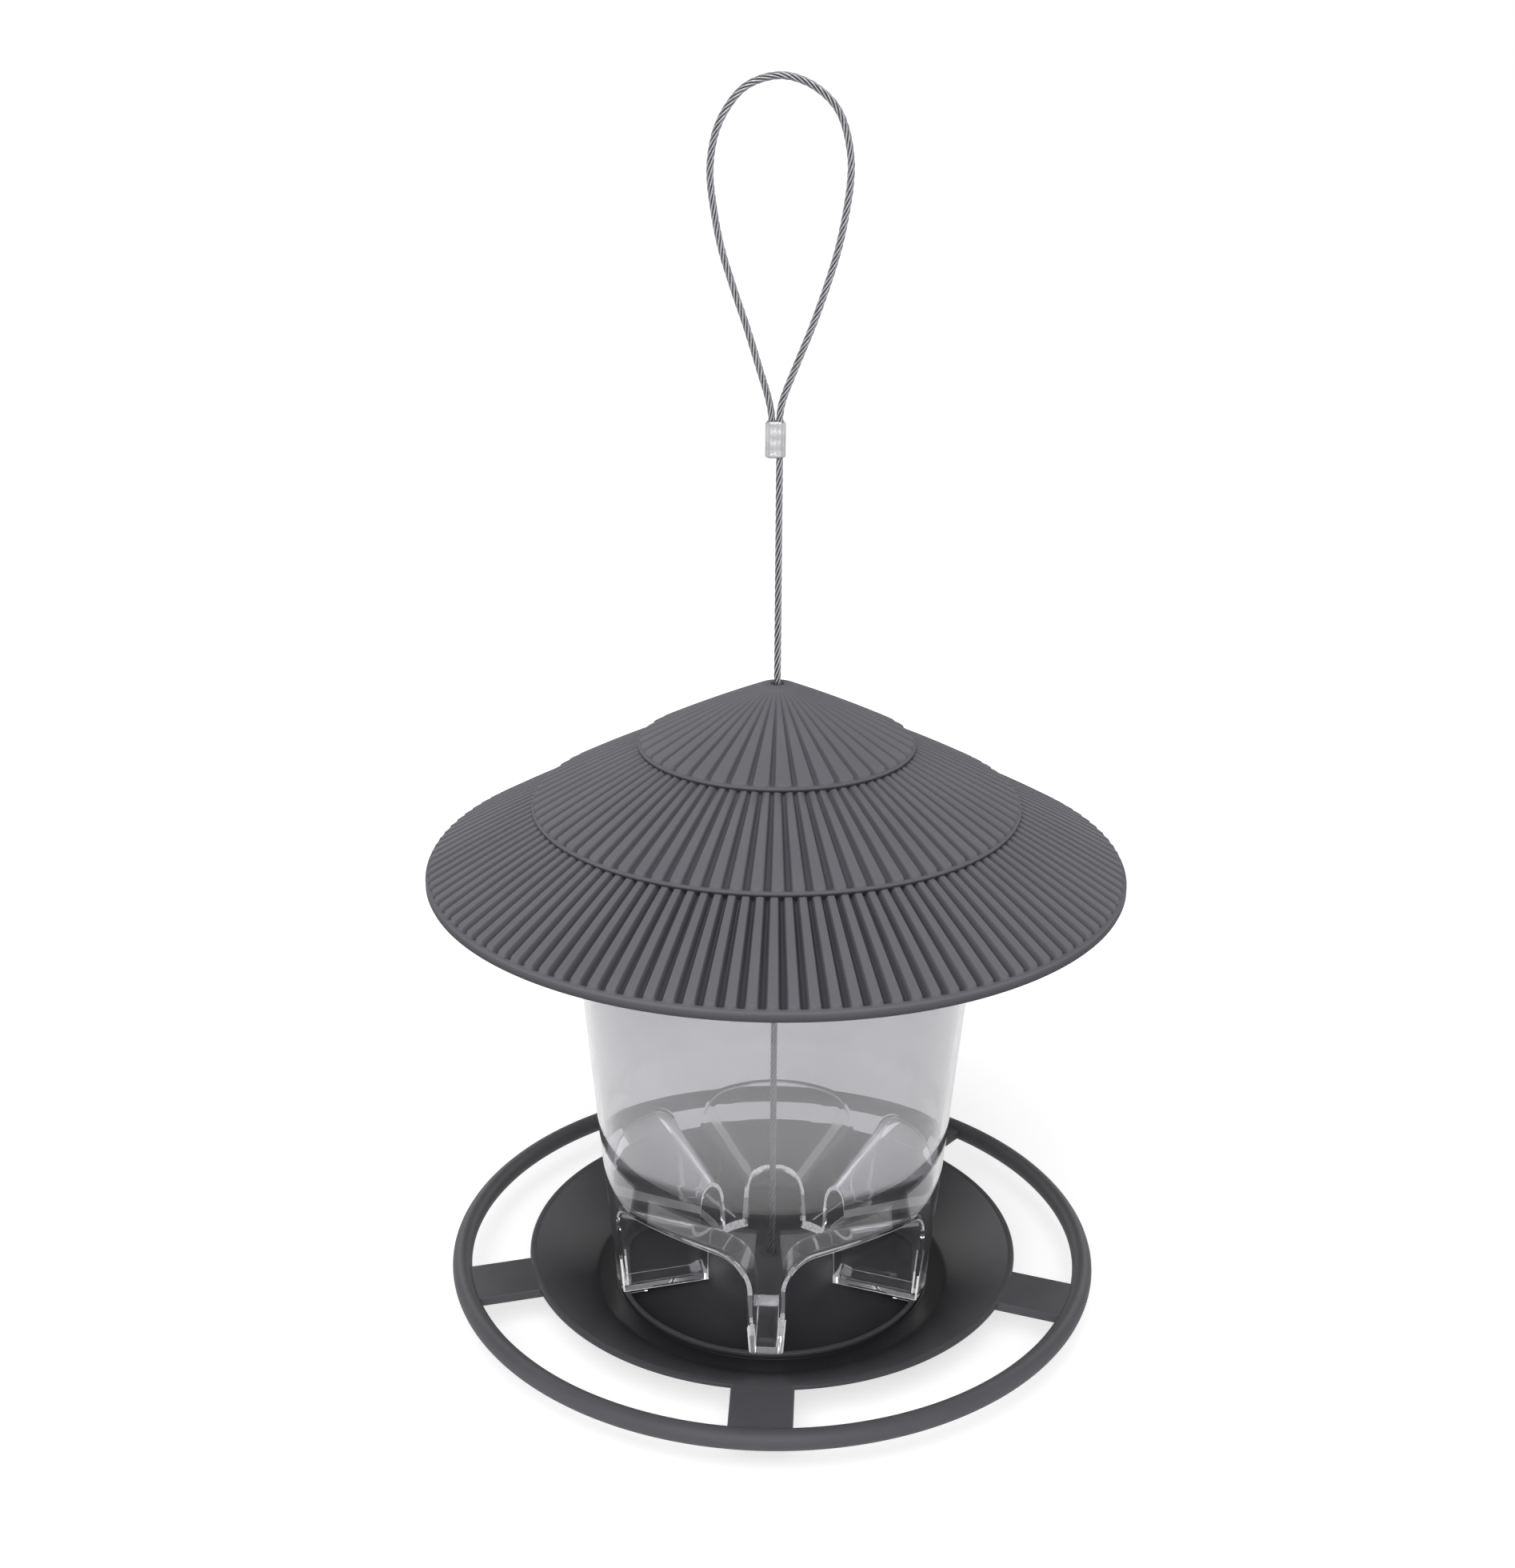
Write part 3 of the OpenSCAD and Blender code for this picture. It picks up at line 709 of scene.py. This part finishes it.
for face in range(rows * columns):
    hopper.data.polygons[face].material_index = face_glow_paint(*divmod(face, columns))
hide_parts("hopper")

# The roof is one mid-grey moulding in three tiers, ribbed like a parasol, with 40, 80 and 120 ribs. A seat
# inside rests on the hopper's mouth and a collar drops into it. The rope runs through the hole at the peak.
ROOF_R = 102
MIDDLE_R = 71
TOP_R = 40
PEAK_R = 6
PEAK_Z = 195.9
PEAK_DROP = 0.9
TOP_LIP_Z = 176.9
MIDDLE_LIP_Z = 159.4
RIM_Z = 138.9
LIP_H = 1.8
LIP_OVERHANG = 0.5
LIP_TUCK = 0.3
RIM_BAND_H = 3.7
TIER_BULGE = 0.3
ROOF_T = 2.7
ROOF_HOLE_R = 2
TOP_RIBS = 40
MIDDLE_RIBS = 80
LOW_RIBS = 120
TOP_GROOVE = 1.1
MIDDLE_GROOVE = 1.5
LOW_GROOVE = 2.0
TOP_GROOVE_SHARE = 0.22
MIDDLE_GROOVE_SHARE = 0.33
LOW_GROOVE_SHARE = 0.34
WIDE_PITCH = 4
RIB_SIDE_W = 0.9
TIP_L = 1.3
BAND_DEPTH = 0.5
LIP_BAND = 0.4
RIM_BAND = 0.5
# Painted shade down each lip's rows: little on its top edge, much on its face.
LIP_PAINTED_SHADES = (0.1, 0.1, 0.5, 0.9, 0.9, 0.9)

# The tiers' ribs share the roof's columns, so a tier with more ribs has fewer columns for each. Beside a
# groove's middle they stand at these places, in half groove widths, by the number of columns for a rib.
ROOF_COLUMNS = 1200
GROOVE_PLACES = {
    10: (0.4, 0.75, 1.1, 1.5),
    15: (0.3, 0.6, 0.85, 1.05, 1.3, 1.6),
    30: (0.3, 0.55, 0.75, 0.9, 1.05, 1.2, 1.35, 1.55),
}
SLOPE_ROWS = 5
SLOPE_END = 3.4
TIP_ROWS = (2.6, 2.0, 1.6, 1.2, 0.9, 0.6, 0.3, 0.0)


def rib_phases(count, share):
    """Where a rib's columns stand within its pitch, counted from a groove's middle."""
    near = [place * share / 2 for place in GROOVE_PLACES[count]]
    far_count = (count - 1) // 2 - len(near)
    far = [near[-1] + (0.5 - near[-1]) * (k + 1) / (far_count + 1) for k in range(far_count)]
    half = near + far
    middle = [0.5] if count % 2 == 0 else []
    return np.array([0] + half + middle + [1 - phase for phase in reversed(half)])


def smooth_step(x):
    """A smooth rise from 0 to 1 while x goes from 0 to 1."""
    x = np.clip(x, 0, 1)
    return x * x * (3 - 2 * x)


def tier_rows(start, end, ribs, share, groove, band, lip):
    """One tier: raised ribs down its slope, which end in round tips at a plain band, then its lip's points.
    Also its columns' angles and each point's painted shade: deeper in the grooves and on the lip's face."""
    phase = rib_phases(ROOF_COLUMNS // ribs, share)
    angle = FIRST_LEG + (np.arange(ribs)[:, None] + phase[None, :]).ravel() * 2 * math.pi / ribs
    off_rib = np.tile(0.5 - np.minimum(phase, 1 - phase), ribs)
    start, end = np.array(start, float), np.array(end, float)
    slope_l = np.linalg.norm(end - start)
    out = (end - start) / slope_l
    up = np.array([-out[1], out[0]])
    ribs_l = slope_l - band
    slope = np.linspace(0, ribs_l - SLOPE_END, SLOPE_ROWS)
    down = np.concatenate([slope, ribs_l - np.array(TIP_ROWS), [slope_l - band / 2]])
    t = down / slope_l
    line = start + t[:, None] * (end - start) + (4 * TIER_BULGE * t * (1 - t))[:, None] * up
    pitch = 2 * math.pi * line[:, :1] / ribs
    half_rib = (1 - share) * pitch / 2
    past_tip = np.maximum(down[:, None] - (ribs_l - TIP_L), 0)
    beside_rib = np.hypot(off_rib * pitch, past_tip * half_rib / TIP_L) - half_rib
    full_depth = groove * np.minimum(pitch / WIDE_PITCH, 1)
    floor_depth = full_depth - (full_depth - BAND_DEPTH) * smooth_step(past_tip / TIP_L)
    depth = floor_depth * smooth_step(beside_rib / RIB_SIDE_W + 0.5)
    ribbed = line[:, None, :] - depth[..., None] * up
    lip = np.broadcast_to(np.array(lip)[:, None, :], (len(lip), ROOF_COLUMNS, 2))
    lip_painted_shade = np.repeat(np.array(LIP_PAINTED_SHADES)[:, None], ROOF_COLUMNS, axis=1)
    shade = np.concatenate([depth / LOW_GROOVE, lip_painted_shade])
    return set_round(np.concatenate([ribbed, lip]), angle), angle, shade


def edge_points(corner, steps):
    """The points of a rounded edge, each given as a step out and up from a corner at (r, z)."""
    return [(corner[0] + out, corner[1] + up) for out, up in steps]


LIP_EDGE = [(-0.35, -0.35), (-0.1, -0.5), (0, -0.75), (0, -1.1), (-0.15, -1.35), (-0.5, -1.45)]
RIM_TOP_EDGE = [(-0.5, -0.6), (-0.1, -0.95), (0, -1.4)]
RIM_FOOT_EDGE = [(0, 0.8), (-0.25, 0.25), (-0.8, 0)]
PEAK_EDGE = [(0, -0.4), (0.15, -0.1), (0.5, 0), (1.4, -0.05), (2.4, -0.3), (3.2, -0.58), (3.8, -0.82)]
top_lip = (TOP_R, TOP_LIP_Z + LIP_H)
middle_lip = (MIDDLE_R, MIDDLE_LIP_Z + LIP_H)
band_top = (ROOF_R, RIM_Z + RIM_BAND_H)
top_tier, top_angle, top_painted_shade = tier_rows(
    (PEAK_R, PEAK_Z - PEAK_DROP), top_lip,
    TOP_RIBS, TOP_GROOVE_SHARE, TOP_GROOVE, LIP_BAND, edge_points(top_lip, LIP_EDGE),
)
middle_tier, _, middle_painted_shade = tier_rows(
    (TOP_R - LIP_OVERHANG, TOP_LIP_Z + LIP_TUCK), middle_lip,
    MIDDLE_RIBS, MIDDLE_GROOVE_SHARE, MIDDLE_GROOVE, LIP_BAND, edge_points(middle_lip, LIP_EDGE),
)
low_tier, low_angle, low_painted_shade = tier_rows(
    (MIDDLE_R - LIP_OVERHANG, MIDDLE_LIP_Z + LIP_TUCK), band_top,
    LOW_RIBS, LOW_GROOVE_SHARE, LOW_GROOVE, RIM_BAND,
    edge_points(band_top, RIM_TOP_EDGE) + edge_points((ROOF_R, RIM_Z), RIM_FOOT_EDGE),
)

# Inside, the roof is a plain shell. Its seat and collar stand under the middle tier.
SHELL_INSET = 2
SEAT_R = 65
SEAT_TOP_H = 2.15
COLLAR_TOP_R = 60.6
COLLAR_FOOT_R = 59.9
COLLAR_T = 2
COLLAR_H = 8
COLLAR_TOP_H = 6
under_z = MIDDLE_LIP_Z + LIP_H - ROOF_T
peak_under_z = PEAK_Z - PEAK_DROP - ROOF_T
underside = [
    (ROOF_R - SHELL_INSET, RIM_Z),
    (ROOF_R - SHELL_INSET, RIM_Z + RIM_BAND_H - ROOF_T),
    (MIDDLE_R - SHELL_INSET, MIDDLE_LIP_Z - ROOF_T),
    (MIDDLE_R - SHELL_INSET, under_z),
    (SEAT_R, under_z + SEAT_TOP_H),
    (SEAT_R, MOUTH_Z),
    (COLLAR_TOP_R, MOUTH_Z),
    (COLLAR_FOOT_R, MOUTH_Z - COLLAR_H),
    (COLLAR_FOOT_R - COLLAR_T, MOUTH_Z - COLLAR_H),
    (COLLAR_FOOT_R - COLLAR_T, under_z + COLLAR_TOP_H),
    (TOP_R - SHELL_INSET, TOP_LIP_Z - ROOF_T),
    (TOP_R - SHELL_INSET, TOP_LIP_Z + LIP_H - ROOF_T),
    (PEAK_R, peak_under_z),
    (ROOF_HOLE_R, peak_under_z),
]
peak = edge_points((ROOF_HOLE_R, PEAK_Z), PEAK_EDGE)
roof_rows = np.concatenate([
    set_round(np.array(peak)[:, None, :], top_angle),
    top_tier,
    middle_tier,
    low_tier,
    set_round(np.array(underside)[:, None, :], low_angle),
])
roof_painted_shade = np.concatenate([
    np.zeros((len(peak), ROOF_COLUMNS)),
    top_painted_shade,
    middle_painted_shade,
    low_painted_shade,
    np.zeros((len(underside), ROOF_COLUMNS)),
])
roof_points = roof_rows.reshape(-1, 3)
roof_faces = grid_faces(len(roof_rows), ROOF_COLUMNS, closed_rows=True)[:, ::-1]
# The roof's grooves and lips' faces are painted darker as painted shade.
roof_plastic = surface(
    "roof plastic", low=(0.118, 0.116, 0.129), high=(0.13, 0.128, 0.141), mottle=35,
    rough=(0.6, 0.7), grain=1600, bump=0.06, dark=(0.05, 0.049, 0.055), Specular_IOR_Level=0.04,
)
roof = make_piece(
    "roof_moulding", roof_points, roof_faces, "roof", roof_plastic,
    sharp=50, shade=roof_painted_shade,
)
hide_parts("roof")

# The loop's ferrule is an aluminium sleeve with two barrels, one on the rope and one on its dead end. It is
# pressed on at three places along its length, which closes the loop.
FERRULE_Z = 260.5
FERRULE_L = 10
BARREL_R = 1.7
BARREL_SPLIT = 3
DEAD_END_X = -2.3
SLEEVE_WAIST = 0.14
SLEEVE_WAIST_W = 0.8
END_ROUND_H = 0.4
END_ROUND = [(0, 0.3), (0.15, 0.08), (END_ROUND_H, 0)]
PRESSES = 3
PRESS_SHARE = 0.06
PRESS_ROWS = 20
sleeve_x = DEAD_END_X / 2


def sleeve_section(z, size, squeeze):
    """The sleeve's section at a height: two barrels side by side with a shallow waist between them."""
    turn = np.linspace(0, 2 * math.pi, CRIMP_SIDES, endpoint=False)
    x = -sleeve_x * np.tanh(BARREL_SPLIT * np.cos(turn)) + BARREL_R * np.cos(turn)
    waist = 1 - SLEEVE_WAIST * np.exp(-((x / SLEEVE_WAIST_W) ** 2))
    y = BARREL_R * squeeze * waist * np.sin(turn)
    return np.column_stack([sleeve_x + x * size, y * size, np.full(CRIMP_SIDES, z)])


sections = []
for rise, inset in END_ROUND:
    sections.append(sleeve_section(FERRULE_Z + rise, 1 - inset / BARREL_R, 1))
for k in range(1, PRESS_ROWS):
    share = k / PRESS_ROWS
    pressed = PRESS_SHARE * (0.5 - 0.5 * math.cos(2 * math.pi * PRESSES * share))
    row_z = FERRULE_Z + END_ROUND_H + (FERRULE_L - 2 * END_ROUND_H) * share
    sections.append(sleeve_section(row_z, 1, 1 - pressed))
for rise, inset in reversed(END_ROUND):
    sections.append(sleeve_section(FERRULE_Z + FERRULE_L - rise, 1 - inset / BARREL_R, 1))
ferrule_points = np.concatenate(sections)
ferrule_faces = capped_faces(len(sections), CRIMP_SIDES)
ferrule = make_piece("loop_crimp", ferrule_points, ferrule_faces, "rope", aluminium)
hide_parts("loop_ferrule")

# The stage is a plain pale light table under one broad soft light, in a dim room over a white horizon.
# Panels at both sides light the feeder, and those behind and in front only give shiny pieces their sheen.
# Its lengths are metres.
FLOOR_HALF = 30.0
FLOOR_GLOW = 0.66
LIGHT_FROM = (-0.12, -0.75, 1)
LIGHT_SPREAD = math.radians(55)
LIGHT_POWER = 2.7
PANEL_W = 0.5
PANEL_H = 0.9
SIDE_LIGHT_X = 1.2
SIDE_LIGHT_Y = -0.4
SIDE_LIGHT_Z = 0.2
SIDE_LIGHT_POWER = 2
BACK_LIGHT_X = 0.72
BACK_LIGHT_Y = 1.1
BACK_LIGHT_Z = 0.7
BACK_LIGHT_POWER = 8
FRONT_LIGHT = (0, -1.25, 0.66)
FRONT_LIGHT_POWER = 6
ROOM_GREY = (0.3, 0.3, 0.3, 1)
WHITE_UP_TO = 0.07
GREY_FROM = 0.2
floor_corners = [(x * FLOOR_HALF, y * FLOOR_HALF, 0) for x, y in ((-1, -1), (1, -1), (1, 1), (-1, 1))]
floor_mesh = bpy.data.meshes.new("floor")
floor_mesh.from_pydata(floor_corners, [], [(0, 1, 2, 3)])
pale_floor = surface(
    "pale floor", low=(0.44, 0.44, 0.44), high=(0.46, 0.46, 0.46), mottle=3,
    rough=(0.6, 0.7), grain=400, bump=0.02, Emission_Color=WHITE, Emission_Strength=FLOOR_GLOW,
)
floor_mesh.materials.append(pale_floor)
floor = bpy.data.objects.new("floor", floor_mesh)
bpy.context.scene.collection.objects.link(floor)
lamp = bpy.data.lights.new("broad light", "SUN")
lamp.angle = LIGHT_SPREAD
lamp.energy = LIGHT_POWER
light = bpy.data.objects.new("broad light", lamp)
light.rotation_euler = Vector(LIGHT_FROM).to_track_quat("Z", "Y").to_euler()
bpy.context.scene.collection.objects.link(light)


def light_panel(name, place, power, sheen_only=False):
    """A soft rectangular lamp that faces the feeder and that the camera doesn't see directly. A sheen-only
    one shows in shiny pieces and lights no matt ones."""
    panel = bpy.data.lights.new(name, "AREA")
    panel.shape = "RECTANGLE"
    panel.size = PANEL_W
    panel.size_y = PANEL_H
    panel.energy = power
    holder = bpy.data.objects.new(name, panel)
    holder.location = place
    holder.rotation_euler = Vector(place).to_track_quat("Z", "Y").to_euler()
    holder.visible_camera = False
    holder.visible_diffuse = not sheen_only
    bpy.context.scene.collection.objects.link(holder)


for side in (-1, 1):
    side_place = (side * SIDE_LIGHT_X, SIDE_LIGHT_Y, SIDE_LIGHT_Z)
    back_place = (side * BACK_LIGHT_X, BACK_LIGHT_Y, BACK_LIGHT_Z)
    light_panel("side light", side_place, SIDE_LIGHT_POWER)
    light_panel("sheen light", back_place, BACK_LIGHT_POWER, sheen_only=True)
light_panel("glint light", FRONT_LIGHT, FRONT_LIGHT_POWER, sheen_only=True)
world = bpy.data.worlds.new("room")
bpy.context.scene.world = world
world.use_nodes = True
sky_nodes, sky_links = world.node_tree.nodes, world.node_tree.links
sky_place = sky_nodes.new("ShaderNodeTexCoord")
sky_parts = sky_nodes.new("ShaderNodeSeparateXYZ")
sky_ramp = sky_nodes.new("ShaderNodeValToRGB")
sky_ramp.color_ramp.elements[0].position = WHITE_UP_TO
sky_ramp.color_ramp.elements[0].color = WHITE
sky_ramp.color_ramp.elements[1].position = GREY_FROM
sky_ramp.color_ramp.elements[1].color = ROOM_GREY
sky_links.new(sky_place.outputs["Generated"], sky_parts.inputs["Vector"])
sky_links.new(sky_parts.outputs["Z"], sky_ramp.inputs["Fac"])
sky_links.new(sky_ramp.outputs["Color"], sky_nodes["Background"].inputs["Color"])
bpy.context.scene.view_settings.view_transform = "Standard"

# The camera stands a little right of the front leg and looks down on the feeder, as in the photograph. Its
# place, angles and focal length were fitted to the rims, tiers and spokes that the photograph shows.
PHOTO_H = 1960
FOCAL_PIXELS = 2529
SENSOR_W = 36
NEAR_CLIP = 10
CAMERA_PLACE = (16.4, -552.4, 365.6)
PITCH = math.radians(19.94)
HEADING = math.radians(-2.27)
ROLL = math.radians(0.36)
lens = bpy.data.cameras.new("camera")
lens.sensor_width = SENSOR_W
lens.lens = FOCAL_PIXELS / PHOTO_H * SENSOR_W
lens.clip_start = NEAR_CLIP * MM
camera = bpy.data.objects.new("camera", lens)
bpy.context.scene.collection.objects.link(camera)
camera.matrix_world = (
    Matrix.Translation(Vector(CAMERA_PLACE) * MM)
    @ Matrix.Rotation(-HEADING, 4, "Z")
    @ Matrix.Rotation(math.pi / 2 - PITCH, 4, "X")
    @ Matrix.Rotation(ROLL, 4, "Z")
)
bpy.context.scene.camera = camera
